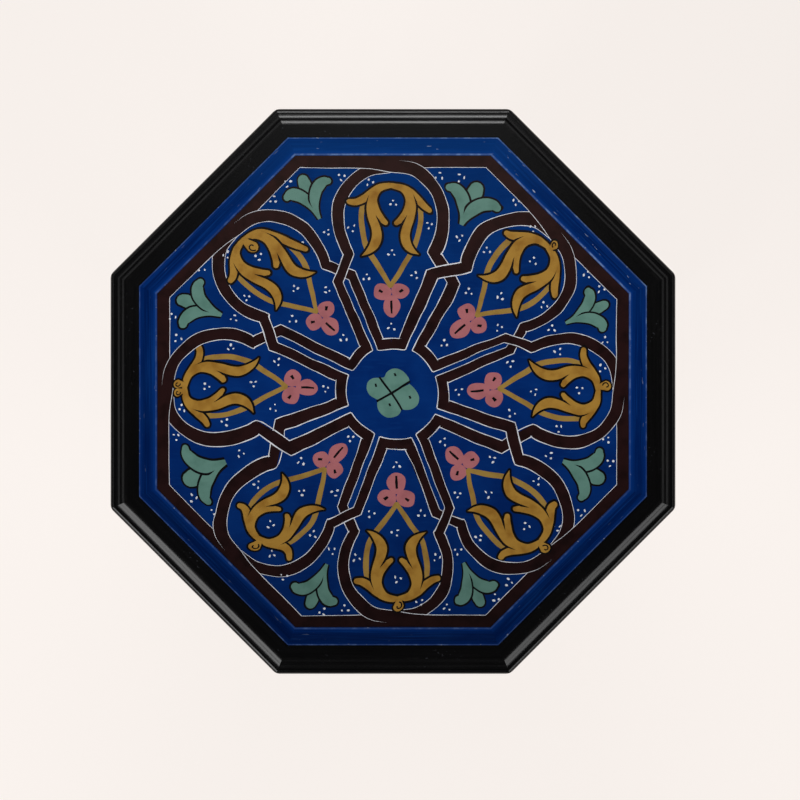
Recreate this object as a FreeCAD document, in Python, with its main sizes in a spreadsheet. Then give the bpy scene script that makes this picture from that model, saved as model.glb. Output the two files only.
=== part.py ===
import FreeCAD, Part
import math
import os

import Sketcher

# An octagonal side table: a framed and painted top on a base of eight arched boards.
# Millimetres, +Z up, origin on the floor under the middle of the table.

SIDES = 8
FULL_TURN = 360
CORNER_ANGLE = FULL_TURN / SIDES / 2
HALF_STEP = 0.5
SIDE_NAMES = ("e", "ne", "n", "nw", "w", "sw", "s", "se")

# How a sketch numbers its axes and the points of an edge.
SKETCH_ORIGIN = (-1, 1)
SKETCH_AXES = {"X": -2, "Y": -1}
EDGE_POINTS = ("edge", "start", "end", "centre")

DIMENSIONS = (
    ("table_height", "500", "floor to the top of the rim"),
    ("top_flats", "400", "across the flats of the rim"),
    ("rim_depth", "24", "thickness of the rim at its edge"),
    ("rim_width", "20.7", "edge of the top to the cove moulding"),
    ("rim_flat", "9", "flat band beside the cove moulding"),
    ("nose_radius", "3", "round nose along the outer edge"),
    ("nose_step", "1.0", "small flat above the nose"),
    ("ogee_riser", "3.0", "upright fillet at the foot of the ogee"),
    ("ogee_height", "2.2", "rise of the ogee up to the flat band"),
    ("under_radius", "2", "eased lower edge of the rim"),
    ("corner_radius", "9", "eased corners of the rim, in plan"),
    ("field_drop", "6", "painted field below the top of the rim"),
    ("panel_thickness", "12", "painted board"),
    ("panel_gap", "0.2", "room round the painted board"),
    ("ledge_width", "14", "rail ledge under the board"),
    ("cove_width", "12.6", "cove moulding across the top"),
    ("cove_lip", "0.8", "rounded lip of the cove moulding beside the field"),
    ("cove_bead", "0.7", "radius of the bead along the top of the cove moulding"),
    ("cove_seat", "2", "rebate in the board that seats the cove moulding"),
    ("cove_gap", "0.1", "room beside the cove moulding in its rebate"),
    ("key_thickness", "3", "loose tongue in a rail mitre"),
    ("key_reach", "7", "depth of the tongue in each rail"),
    ("key_length", "9", "length of the tongue along the mitre"),
    ("key_inset", "4", "rail wood between the tongue and the board"),
    ("key_gap", "0.1", "room round the tongue"),
    ("top_overhang", "50", "edge of the top past the base"),
    ("side_thickness", "15", "boards of the base"),
    ("leg_width", "24", "foot of a board beside its opening"),
    ("arch_swell", "2", "widest level of the arch past the jamb below it"),
    ("arch_rise", "56", "widest level up to the point of the arch"),
    ("impost_step", "6.3", "impost at the springing, in from the jamb"),
    ("apron_height", "97", "point of the arch up to the top of the board"),
    ("impost_height", "8", "upright face of the impost"),
    ("cleat_size", "18", "square section of the cleats"),
    ("block_leg", "22", "glue block along each board"),
    ("block_depth", "10", "glue block square to each board"),
    ("block_height", "72", "length of the glue blocks"),
    ("screw_diameter", "3.5", "shank of the wood screws"),
    ("screw_head", "7", "countersunk head of the wood screws"),
    ("screw_gap", "0.05", "room round a screw in its hole"),
    ("screw_bite", "7", "length of a screw in the far piece"),
    ("rim_screw_pitch", "90", "between the two screws of a rail"),
    ("cleat_screw_pitch", "52", "between the two screws from a cleat into its board"),
)


class Size:
    """A length that carries its value and the sheet expression that drives it."""

    def __init__(self, value, text):
        self.value = value
        self.text = text

    def __add__(self, other):
        return Size(self.value + other.value, f"({self.text} + {other.text})")

    def __sub__(self, other):
        return Size(self.value - other.value, f"({self.text} - {other.text})")

    def __mul__(self, other):
        return Size(self.value * other.value, f"({self.text} * {other.text})")

    def __truediv__(self, other):
        return Size(self.value / other.value, f"({self.text} / {other.text})")

    def __neg__(self):
        return Size(-self.value, f"(-{self.text})")


def root(size):
    return Size(math.sqrt(size.value), f"sqrt({size.text})")


def dim(alias):
    """One driving dimension of the sheet."""
    return Size(float(sheet.get(alias)), f"dims.{alias}")


doc = FreeCAD.newDocument("painted_table")
sheet = doc.addObject("Spreadsheet::Sheet", "dims")
for row, (alias, value, meaning) in enumerate(DIMENSIONS, start=1):
    sheet.set(f"A{row}", meaning)
    sheet.set(f"B{row}", value)
    sheet.setAlias(f"B{row}", alias)
doc.recompute()

ZERO = Size(0.0, "0")
TWO = Size(2.0, "2")
CORNER_RADIANS = math.radians(CORNER_ANGLE)
CORNER_SLOPE = Size(math.tan(CORNER_RADIANS), f"tan({CORNER_ANGLE} deg)")
CORNER_COS = Size(math.cos(CORNER_RADIANS), f"cos({CORNER_ANGLE} deg)")
CORNER_SIN = Size(math.sin(CORNER_RADIANS), f"sin({CORNER_ANGLE} deg)")

# Levels, from the floor up.
rim_top = dim("table_height")
rim_bottom = rim_top - dim("rim_depth")
field_level = rim_top - dim("field_drop")
cove_bottom = field_level - dim("cove_seat")
panel_bottom = field_level - dim("panel_thickness")
cleat_bottom = panel_bottom - dim("cleat_size")

# Distances from the middle of the table to the faces of one side.
rim_out = dim("top_flats") / TWO
rail_inner = rim_out - dim("rim_width")
ledge_inner = rail_inner - dim("ledge_width")
field_out = rail_inner - dim("cove_width")
board_out = rim_out - dim("top_overhang")
board_in = board_out - dim("side_thickness")
cleat_in = board_in - dim("cleat_size")

# Where the screws stand.
screw_radius = dim("screw_diameter") / TWO
head_radius = dim("screw_head") / TWO
rim_screw_at = rail_inner - dim("ledge_width") / TWO
rim_screw_side = dim("rim_screw_pitch") / TWO
top_screw_at = board_in - dim("cleat_size") / TWO
cleat_screw_side = dim("cleat_screw_pitch") / TWO
cleat_screw_level = panel_bottom - dim("cleat_size") / TWO


def origin_feature(body, role):
    return next(item for item in body.Origin.OriginFeatures if item.Role == role)


def new_body(label):
    body = doc.addObject("PartDesign::Body", label)
    body.Label = label
    return body


def new_sketch(body, name, plane, lift=ZERO, across=ZERO, up=ZERO):
    """A sketch on an origin plane of the body, lifted off it and with its own origin moved."""
    sketch = body.newObject("Sketcher::SketchObject", name)
    sketch.AttachmentSupport = (origin_feature(body, plane), [""])
    sketch.MapMode = "FlatFace"
    for axis, size in (("x", across), ("y", up), ("z", lift)):
        sketch.setExpression(f"AttachmentOffset.Base.{axis}", size.text)
    return sketch


def pin(sketch, axis, edge, point, size):
    """Holds one coordinate of a point at a size of the sheet."""
    if size.value == 0:
        sketch.addConstraint(Sketcher.Constraint("PointOnObject", edge, point, SKETCH_AXES[axis]))
        return
    distance = Sketcher.Constraint(f"Distance{axis}", *SKETCH_ORIGIN, edge, point, size.value)
    index = sketch.addConstraint(distance)
    sketch.setExpression(f"Constraints[{index}]", size.text)


class Arc:
    """How the outline goes on from a corner: round a centre, turning left or right."""

    def __init__(self, centre, turn):
        self.centre = centre
        self.left = turn == "left"


def draw_edge(sketch, corner, following):
    """One line or arc of an outline. Returns the edge's points at its corner and at the next one."""
    start = FreeCAD.Vector(corner[0].value, corner[1].value, 0)
    stop = FreeCAD.Vector(following[0].value, following[1].value, 0)
    if len(corner) == 2:
        sketch.addGeometry(Part.LineSegment(start, stop), False)
        return EDGE_POINTS.index("start"), EDGE_POINTS.index("end")
    arc = corner[2]
    centre = FreeCAD.Vector(arc.centre[0].value, arc.centre[1].value, 0)
    circle = Part.Circle(centre, FreeCAD.Vector(0, 0, 1), (start - centre).Length)
    first, last = (start, stop) if arc.left else (stop, start)
    sketch.addGeometry(Part.ArcOfCircle(circle, circle.parameter(first), circle.parameter(last)), False)
    names = ("start", "end") if arc.left else ("end", "start")
    return tuple(EDGE_POINTS.index(name) for name in names)


def draw_outline(sketch, corners):
    """Closes an outline through corners given as (x, y), or (x, y, Arc) where an arc goes on.

    Upright and level edges are held as such, and every other coordinate is held by the sheet.
    """
    first = len(sketch.Geometry)
    count = len(corners)
    following = corners[1:] + corners[:1]
    ends = [draw_edge(sketch, corner, after) for corner, after in zip(corners, following)]
    for index in range(count):
        after = (index + 1) % count
        joined = (first + index, ends[index][1], first + after, ends[after][0])
        sketch.addConstraint(Sketcher.Constraint("Coincident", *joined))
    for index, corner in enumerate(corners):
        edge = first + index
        point = ends[index][0]
        before = corners[index - 1]
        after_line = index > 0 and len(before) == 2
        for axis, kind, size, size_before in zip("XY", ("Vertical", "Horizontal"), corner, before):
            if after_line and size.text == size_before.text:
                sketch.addConstraint(Sketcher.Constraint(kind, edge - 1))
            else:
                pin(sketch, axis, edge, point, size)
        if len(corner) > 2:
            wide = abs(following[index][0].value - corner[0].value)
            high = abs(following[index][1].value - corner[1].value)
            across, up = corner[2].centre
            if high >= wide:
                pin(sketch, "X", edge, EDGE_POINTS.index("centre"), across)
            else:
                pin(sketch, "Y", edge, EDGE_POINTS.index("centre"), up)


def add_pad(body, name, sketch, length, side="One side"):
    pad = body.newObject("PartDesign::Pad", name)
    pad.Profile = sketch
    pad.SideType = side
    pad.setExpression("Length", length.text)
    doc.recompute()
    return pad


def add_cut(body, kind, name, profile, settings):
    """A Pocket or Groove that has to take wood away from the body."""
    before = body.Shape.Volume
    cut = body.newObject(kind, name)
    cut.Profile = profile
    for setting, value in settings.items():
        if isinstance(value, Size):
            cut.setExpression(setting, value.text)
        else:
            setattr(cut, setting, value)
    doc.recompute()
    if body.Shape.Volume >= before:
        raise RuntimeError(f"{body.Label}: {name} cuts nothing")
    return cut


def cut_upward(body, name, sketch, depth=None):
    """A Pocket from the sketch up, through everything or to a depth."""
    settings = {"Reversed": True, "Type": "ThroughAll"}
    if depth is not None:
        settings = {"Reversed": True, "Type": "Length", "Length": depth}
    return add_cut(body, "PartDesign::Pocket", name, sketch, settings)


def round_table(body, name, features):
    """Repeats features once for each side of the table."""
    pattern = body.newObject("PartDesign::PolarPattern", name)
    pattern.Originals = features
    pattern.Axis = (origin_feature(body, "Z_Axis"), [""])
    pattern.Angle = FULL_TURN
    pattern.Occurrences = SIDES
    body.Tip = pattern
    doc.recompute()


def turn_to_side(body, steps):
    """Turns a body from the east side by whole steps to another side, or with a half to a corner."""
    turn = FreeCAD.Rotation(FreeCAD.Vector(0, 0, 1), steps * FULL_TURN / SIDES)
    body.Placement = FreeCAD.Placement(FreeCAD.Vector(0, 0, 0), turn)


def saw_mitres(body, inside, outside):
    """Saws both ends of a piece of the east side to the lines through the table's corners."""
    sketch = new_sketch(body, "mitre_lines", "XY_Plane")
    near = inside * CORNER_SLOPE
    far = outside * CORNER_SLOPE
    draw_outline(sketch, [(inside, near), (outside, far), (inside, far)])
    draw_outline(sketch, [(inside, -near), (inside, -far), (outside, -far)])
    cut_upward(body, "mitres", sketch)


def octagon(apothem):
    """Corners of an octagon whose sides face the eight directions."""
    reach = apothem * CORNER_SLOPE
    return [
        (apothem, -reach), (apothem, reach), (reach, apothem), (-reach, apothem),
        (-apothem, reach), (-apothem, -reach), (-reach, -apothem), (reach, -apothem),
    ]


def key_outline(gap):
    """Plan of a loose tongue, lying across the mitre at the east side's north end."""
    near = (rail_inner + dim("key_inset")) / CORNER_COS - gap
    far = near + dim("key_length") + gap * TWO
    reach = dim("key_reach") + gap
    return [
        (along * CORNER_COS - side * CORNER_SIN, along * CORNER_SIN + side * CORNER_COS)
        for along, side in ((near, -reach), (far, -reach), (far, reach), (near, reach))
    ]


class Screw:
    """Where a wood screw of the east side stands, and how it points: up, or out to the board."""

    def __init__(self, start, along, level, wood, points_up):
        self.start = start
        self.along = along
        self.level = level
        self.length = wood + dim("screw_bite")
        self.points_up = points_up

    def draw(self, body, name, gap):
        """Half section of the screw, with the sketch's origin at the middle of its head."""
        sketch = new_sketch(body, name, "XZ_Plane", -self.along, self.start, self.level)
        shank = screw_radius + gap
        head = head_radius + gap
        tip = self.length + gap
        steps = [(ZERO, ZERO), (ZERO, head), (head - shank, shank), (tip - shank, shank), (tip, ZERO)]
        if self.points_up:
            steps = [(out, ahead) for ahead, out in steps]
        draw_outline(sketch, steps)
        return sketch

    def axis(self, sketch):
        return (sketch, ["V_Axis" if self.points_up else "H_Axis"])


def screw_sites():
    """The screws of the east side, by the group that they belong to."""
    rim_wood = panel_bottom - rim_bottom
    cleat_wood = dim("cleat_size")
    return {
        "rim_screws": [
            Screw(rim_screw_at, along, rim_bottom, rim_wood, True)
            for along in (rim_screw_side, -rim_screw_side)
        ],
        "top_screws": [Screw(top_screw_at, ZERO, cleat_bottom, cleat_wood, True)],
        "cleat_screws": [
            Screw(cleat_in, along, cleat_screw_level, cleat_wood, False)
            for along in (cleat_screw_side, -cleat_screw_side)
        ],
    }


def drill(body, group):
    """Bores the countersunk holes or blind pilot holes that a group's screws need in a piece."""
    holes = []
    for number, screw in enumerate(SCREWS[group], start=1):
        section = screw.draw(body, f"{group}_bore_{number}", dim("screw_gap"))
        settings = {"ReferenceAxis": screw.axis(section), "Angle": FULL_TURN}
        holes.append(add_cut(body, "PartDesign::Groove", f"{group}_hole_{number}", section, settings))
    return holes


SCREWS = screw_sites()


def make_top_panel():
    body = new_body("top_panel")
    outline = new_sketch(body, "board", "XY_Plane", panel_bottom)
    draw_outline(outline, octagon(rail_inner - dim("panel_gap")))
    add_pad(body, "board_thickness", outline, dim("panel_thickness"))
    seat = new_sketch(body, "cove_seat_plan", "XY_Plane", cove_bottom)
    draw_outline(seat, octagon(rail_inner))
    draw_outline(seat, octagon(field_out))
    cut_upward(body, "cove_seat", seat)
    pilots = drill(body, "rim_screws") + drill(body, "top_screws")
    round_table(body, "pilot_holes_all_round", pilots)
    return body


def rail_section():
    """Section of a rail, from its flat band over the moulded edge and back under the board."""
    nose_out = rim_out - dim("nose_radius")
    ogee_foot = nose_out - dim("nose_step")
    flat_edge = rail_inner + dim("rim_flat")
    ogee_bottom = rim_top - dim("ogee_height")
    nose_top = ogee_bottom - dim("ogee_riser")
    nose_bottom = nose_top - dim("nose_radius")
    under_level = rim_bottom + dim("under_radius")
    under_out = rim_out - dim("under_radius")
    ogee_run = (ogee_foot - flat_edge) / TWO
    ogee_rise = dim("ogee_height") / TWO
    ogee_radius = (ogee_run * ogee_run + ogee_rise * ogee_rise) / (TWO * ogee_rise)
    return [
        (rail_inner, rim_top),
        (rail_inner, panel_bottom),
        (ledge_inner, panel_bottom),
        (ledge_inner, rim_bottom),
        (under_out, rim_bottom, Arc((under_out, under_level), "left")),
        (rim_out, under_level),
        (rim_out, nose_bottom, Arc((nose_out, nose_bottom), "left")),
        (nose_out, nose_top),
        (ogee_foot, nose_top),
        (ogee_foot, ogee_bottom, Arc((ogee_foot, ogee_bottom + ogee_radius), "right")),
        (flat_edge + ogee_run, rim_top - ogee_rise, Arc((flat_edge, rim_top - ogee_radius), "left")),
        (flat_edge, rim_top),
    ]


def ease_corners(body, radius):
    """Rounds the outer ends of a rail, so that two rails meet in an eased corner of the top."""
    sketch = new_sketch(body, "corner_lines", "XY_Plane")
    across = rim_out - radius
    up = across * CORNER_SLOPE
    meeting = (across + radius * CORNER_COS, up + radius * CORNER_SIN)
    clear = (rim_out + radius, rim_out * CORNER_SLOPE + radius)
    north = [meeting, (meeting[0], clear[1]), clear, (clear[0], up)]
    south = [(x, -y) for x, y in north]
    draw_outline(sketch, [(rim_out, up, Arc((across, up), "left"))] + north)
    draw_outline(sketch, [(rim_out, -up, Arc((across, -up), "right"))] + south)
    cut_upward(body, "eased_corners", sketch)


def make_rim_rail(index):
    body = new_body(f"rim_rail_{SIDE_NAMES[index]}")
    section = new_sketch(body, "rail_section", "XZ_Plane")
    draw_outline(section, rail_section())
    add_pad(body, "rail_length", section, rim_out * CORNER_SLOPE * TWO, "Symmetric")
    saw_mitres(body, ledge_inner, rim_out)
    ease_corners(body, dim("corner_radius"))
    slots = new_sketch(body, "key_slot_plan", "XY_Plane", panel_bottom)
    north = key_outline(dim("key_gap"))
    draw_outline(slots, north)
    draw_outline(slots, [(across, -up) for across, up in north])
    cut_upward(body, "key_slots", slots, dim("key_thickness") + dim("key_gap"))
    drill(body, "rim_screws")
    turn_to_side(body, index)
    return body


def cove_section():
    """Section of the cove moulding: seat, rounded lip, hollow and bead."""
    lip = dim("cove_lip")
    bead = dim("cove_bead")
    front = field_out + dim("cove_gap")
    hollow_foot = front + lip
    lip_level = field_level + lip
    bead_level = rim_top - bead
    bead_edge = rail_inner - bead * TWO
    run = bead_edge - hollow_foot
    rise = bead_level - lip_level
    radius = (run * run + rise * rise) / (TWO * rise)
    return [
        (rail_inner, cove_bottom),
        (front, cove_bottom),
        (front, field_level, Arc((hollow_foot, field_level), "right")),
        (hollow_foot, lip_level, Arc((hollow_foot, lip_level + radius), "left")),
        (bead_edge, bead_level, Arc((rail_inner - bead, bead_level), "right")),
        (rail_inner, bead_level),
    ]


def make_cove_moulding(index):
    body = new_body(f"cove_moulding_{SIDE_NAMES[index]}")
    section = new_sketch(body, "cove_section", "XZ_Plane")
    draw_outline(section, cove_section())
    add_pad(body, "cove_length", section, rail_inner * CORNER_SLOPE * TWO, "Symmetric")
    saw_mitres(body, field_out, rail_inner)
    turn_to_side(body, index)
    return body


def make_mitre_keys():
    body = new_body("mitre_keys")
    plan = new_sketch(body, "key_plan", "XY_Plane", panel_bottom)
    draw_outline(plan, key_outline(ZERO))
    key = add_pad(body, "key", plan, dim("key_thickness"))
    round_table(body, "keys_all_round", [key])
    return body


def half_board_outline():
    """Right half of an arched board, from its foot round the edge and down the opening.

    Each side of the pointed horseshoe arch is one arc, struck from a centre past the middle line.
    """
    edge = board_out * CORNER_SLOPE
    jamb = edge - dim("leg_width")
    widest = jamb + dim("arch_swell")
    impost = jamb - dim("impost_step")
    rise = dim("arch_rise")
    radius = (widest + rise * rise / widest) / TWO
    past_middle = radius - widest
    impost_reach = impost + past_middle
    apex = panel_bottom - dim("apron_height")
    level = apex - rise
    springing = level - root(radius * radius - impost_reach * impost_reach)
    impost_foot = springing - dim("impost_height")
    cavetto_foot = impost_foot - dim("impost_step")
    return [
        (jamb, ZERO),
        (edge, ZERO),
        (edge, panel_bottom),
        (ZERO, panel_bottom),
        (ZERO, apex, Arc((-past_middle, level), "right")),
        (impost, springing),
        (impost, impost_foot, Arc((impost, cavetto_foot), "right")),
        (jamb, cavetto_foot),
    ]


def make_side_panel(index):
    body = new_body(f"side_panel_{SIDE_NAMES[index]}")
    outline = new_sketch(body, "half_board", "YZ_Plane", board_in)
    draw_outline(outline, half_board_outline())
    half = add_pad(body, "half_board_thickness", outline, dim("side_thickness"))
    whole = body.newObject("PartDesign::Mirrored", "whole_board")
    whole.Originals = [half]
    whole.MirrorPlane = (origin_feature(body, "XZ_Plane"), [""])
    body.Tip = whole
    doc.recompute()
    saw_mitres(body, board_in, board_out)
    drill(body, "cleat_screws")
    turn_to_side(body, index)
    return body


def make_corner_block(index):
    """A glue block in the corner after a side, drawn with that corner to the east."""
    following = SIDE_NAMES[(index + 1) % SIDES]
    body = new_body(f"corner_block_{SIDE_NAMES[index]}_{following}")
    plan = new_sketch(body, "block_plan", "XY_Plane", cleat_bottom - dim("block_height"))
    corner = board_in / CORNER_COS
    leg = dim("block_leg")
    depth = dim("block_depth")
    leg_end = (corner - leg * CORNER_SIN, leg * CORNER_COS)
    back = (leg_end[0] - depth * CORNER_COS, leg_end[1] - depth * CORNER_SIN)
    draw_outline(plan, [
        (corner, ZERO),
        leg_end,
        back,
        (back[0], -back[1]),
        (leg_end[0], -leg_end[1]),
    ])
    add_pad(body, "block_length", plan, dim("block_height"))
    turn_to_side(body, index + HALF_STEP)
    return body


def make_top_cleat(index):
    body = new_body(f"top_cleat_{SIDE_NAMES[index]}")
    section = new_sketch(body, "cleat_section", "XZ_Plane")
    draw_outline(section, [
        (cleat_in, cleat_bottom),
        (board_in, cleat_bottom),
        (board_in, panel_bottom),
        (cleat_in, panel_bottom),
    ])
    add_pad(body, "cleat_length", section, board_in * CORNER_SLOPE * TWO, "Symmetric")
    saw_mitres(body, cleat_in, board_in)
    drill(body, "top_screws")
    drill(body, "cleat_screws")
    turn_to_side(body, index)
    return body


def make_screws(group):
    """All the screws of one group, as separate solids round the table."""
    body = new_body(group)
    screws = []
    for number, screw in enumerate(SCREWS[group], start=1):
        section = screw.draw(body, f"screw_section_{number}", ZERO)
        turned = body.newObject("PartDesign::Revolution", f"screw_{number}")
        turned.Profile = section
        turned.ReferenceAxis = screw.axis(section)
        turned.Angle = FULL_TURN
        screws.append(turned)
    doc.recompute()
    round_table(body, "screws_all_round", screws)
    return body


pieces = [make_top_panel(), make_mitre_keys()]
for make_piece in (make_rim_rail, make_cove_moulding, make_side_panel, make_corner_block, make_top_cleat):
    pieces += [make_piece(index) for index in range(SIDES)]
pieces += [make_screws(group) for group in SCREWS]

doc.recompute()
for item in doc.Objects:
    if "Invalid" in item.State or "Error" in item.State:
        raise RuntimeError(f"{item.Label} did not build")
for body in pieces:
    if body.Shape.isNull() or not body.Shape.isValid():
        raise RuntimeError(f"{body.Label} has no valid shape")

os.makedirs("parts", exist_ok=True)
for body in pieces:
    body.Shape.exportStep(f"parts/{body.Label}.step")
    print(f"{body.Label}: {len(body.Shape.Solids)} solid(s), {body.Shape.Volume:.0f} mm3")
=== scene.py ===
import math

import bpy
from mathutils import Matrix, Vector


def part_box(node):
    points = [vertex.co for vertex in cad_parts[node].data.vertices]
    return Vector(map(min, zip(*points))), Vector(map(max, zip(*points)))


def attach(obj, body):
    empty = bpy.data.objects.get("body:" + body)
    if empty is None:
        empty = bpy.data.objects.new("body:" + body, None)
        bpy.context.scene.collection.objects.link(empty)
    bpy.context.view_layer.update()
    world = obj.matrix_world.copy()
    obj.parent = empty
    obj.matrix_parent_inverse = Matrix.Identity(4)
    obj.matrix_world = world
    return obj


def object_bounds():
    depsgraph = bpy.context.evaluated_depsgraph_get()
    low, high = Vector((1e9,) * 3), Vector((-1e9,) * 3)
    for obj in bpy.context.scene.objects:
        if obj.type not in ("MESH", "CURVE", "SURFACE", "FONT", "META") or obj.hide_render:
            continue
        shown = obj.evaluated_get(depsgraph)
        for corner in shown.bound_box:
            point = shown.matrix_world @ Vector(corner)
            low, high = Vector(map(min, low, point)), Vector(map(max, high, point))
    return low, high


# %% [markdown]
# # A painted octagonal side table
# The table is already modelled as solids: a moulded rim, a cove, a recessed panel and
# a base of eight arched boards. This lesson gives the solids their paint, and then paints
# the interlace on the panel as thin films of real geometry. A painter works film by film
# too: every line has an edge that catches light, and each colour has its own finish.

# %% Load the solids
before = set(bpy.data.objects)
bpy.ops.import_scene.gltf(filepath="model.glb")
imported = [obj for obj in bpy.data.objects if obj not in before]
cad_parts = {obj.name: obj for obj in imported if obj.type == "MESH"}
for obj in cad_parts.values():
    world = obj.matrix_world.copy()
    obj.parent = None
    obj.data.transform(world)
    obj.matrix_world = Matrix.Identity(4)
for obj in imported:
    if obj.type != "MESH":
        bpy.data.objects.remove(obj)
cad_box = [list(corner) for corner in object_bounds()]
MM = 0.001
FIELD_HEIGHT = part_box("top_panel")[1][2]
RIM_HEIGHT = cad_box[1][2]
TABLE_WIDTH = cad_box[1][0] - cad_box[0][0]
print("solids:", len(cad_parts), "field at", round(FIELD_HEIGHT, 4), "rim at", round(RIM_HEIGHT, 4))

# %% [markdown]
# The photograph looks straight down. A long lens high above the table keeps the
# base hidden under the top, as it is there. The lens follows from one measurement:
# how many pixels the table covers from flat to flat.

# %% Camera
IMAGE_WIDTH = 800
TABLE_PIXELS = 564.8
TABLE_PIXEL_X = 393.0
TABLE_PIXEL_Y = 391.4
RIM_EDGE_DROP = 8 * MM
CAMERA_RISE = 2.2


def link(name, data):
    """A new object in the scene that shows the data."""
    made = bpy.data.objects.new(name, data)
    bpy.context.collection.objects.link(made)
    return made


pixel_size = TABLE_WIDTH / TABLE_PIXELS
camera_data = bpy.data.cameras.new("overhead_camera")
camera_data.lens = camera_data.sensor_width * CAMERA_RISE / (IMAGE_WIDTH * pixel_size)
camera = link("overhead_camera", camera_data)
camera.location = (
    (IMAGE_WIDTH / 2 - TABLE_PIXEL_X) * pixel_size,
    (TABLE_PIXEL_Y - IMAGE_WIDTH / 2) * pixel_size,
    RIM_HEIGHT - RIM_EDGE_DROP + CAMERA_RISE,
)
bpy.context.scene.camera = camera
print("lens", round(camera_data.lens, 1), "mm, one pixel is", round(pixel_size / MM, 4), "mm")

# %% [markdown]
# Node trees are easier to read as formulas than as a list of links. One small class
# wraps a socket: arithmetic on it adds Math nodes, and its `node` method adds any
# other node. It serves the shaders and the geometry trees alike.

# %% A socket that can be calculated with
class Wire:
    """A socket of a node tree that Python operators can calculate with."""

    def __init__(self, tree, socket=None):
        self.tree = tree
        self.socket = socket

    def node(self, kind, sockets=None, out=0, **settings):
        """An output of a new node, with its settings made and its sockets filled."""
        made = self.tree.nodes.new(kind)
        for name, value in settings.items():
            setattr(made, name, value)
        for name, value in (sockets or {}).items():
            self.fill(made.inputs[name], value)
        return Wire(self.tree, made.outputs[out])

    def fill(self, target, value):
        if isinstance(value, list):
            for item in value:
                self.fill(target, item)
        elif isinstance(value, Wire):
            self.tree.links.new(value.socket, target)
        else:
            target.default_value = value

    def other(self, out):
        return Wire(self.tree, self.socket.node.outputs[out])

    def maths(self, operation, *terms):
        return self.node("ShaderNodeMath", dict(enumerate(terms)), operation=operation)

    def vectors(self, operation, first, second, out=0):
        sockets = {0: first, "Scale" if operation == "SCALE" else 1: second}
        return self.node("ShaderNodeVectorMath", sockets, out, operation=operation)

    def __add__(self, term):
        return self.maths("ADD", self, term)

    def __sub__(self, term):
        return self.maths("SUBTRACT", self, term)

    def __rsub__(self, term):
        return self.maths("SUBTRACT", term, self)

    def __mul__(self, term):
        return self.maths("MULTIPLY", self, term)

    def __truediv__(self, term):
        return self.maths("DIVIDE", self, term)

    def __abs__(self):
        return self.maths("ABSOLUTE", self)

    __radd__ = __add__
    __rmul__ = __mul__

    def above(self, low, high):
        """Nought below low, one above high, with a soft step between."""
        sockets = {"Value": self, "From Min": low, "From Max": high}
        return self.node("ShaderNodeMapRange", sockets, interpolation_type="SMOOTHSTEP")

    def near(self, place, reach):
        """One at the place, and nought further away than the reach."""
        return 1 - (abs(self - place) / reach).above(0.0, 1.0)

    def octagon(self, y):
        """How far out the flat of an octagon is that runs through this x and the y."""
        diagonal = (abs(self) + abs(y)) * math.sqrt(0.5)
        return self.maths("MAXIMUM", self.maths("MAXIMUM", abs(self), abs(y)), diagonal)


print("operators ready")

# %% [markdown]
# Rails, coves and boards run round the table in an octagon, and paint is brushed along
# each of them. So the brush marks need coordinates that follow the octagon: how far out
# a point is, and how far along its own side. One material then serves all eight sides
# and breaks at the mitres, as brush marks do. The colours also get a painted shade that
# makes them darker on the near side of the table.

# %% Coordinates and textures that follow the octagon
SIDES = 8
SIDE_ANGLE = 2 * math.pi / SIDES
HALF_SIDE = math.tan(SIDE_ANGLE / 2)
# Painted shade on the near side: full at the first distance across, none from the second.
FULL_SHADE_AT = -190 * MM
NO_SHADE_FROM = 10 * MM


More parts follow.
